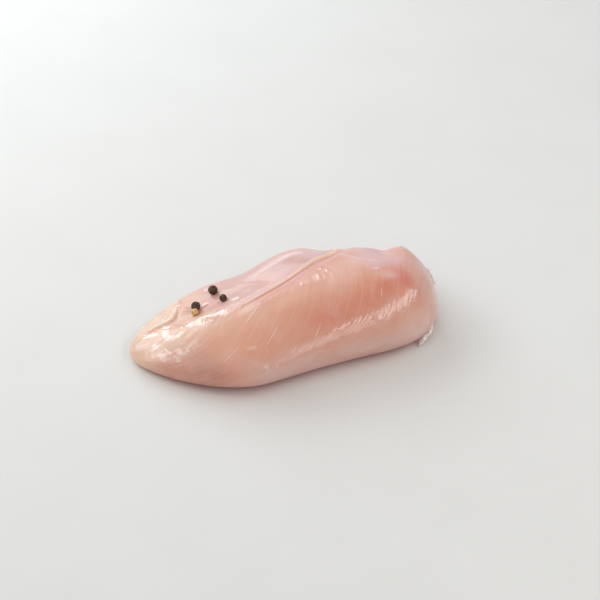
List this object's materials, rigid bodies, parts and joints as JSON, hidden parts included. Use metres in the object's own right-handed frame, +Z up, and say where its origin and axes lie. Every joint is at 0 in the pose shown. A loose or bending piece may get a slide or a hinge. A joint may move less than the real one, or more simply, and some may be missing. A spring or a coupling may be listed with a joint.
{
  "type": "raw chicken breast",
  "caption": "Skinless raw chicken breast fillet lying flat, with its inner fillet seam and whole peppercorns on top.",
  "frame": {"origin": "centre of the box around the breast, on the plane that it lies on", "axes": "+X along the breast towards its thick shoulder end, +Y towards the side with the inner fillet, +Z up"},
  "size_m": [0.1699, 0.0877, 0.0378],
  "materials": {
    "raw_meat": "wet raw poultry, pale salmon pink with fine muscle fibres"
  },
  "bodies": {
    "root": {"chicken_breast": "raw_meat"}
  },
  "joints": []
}
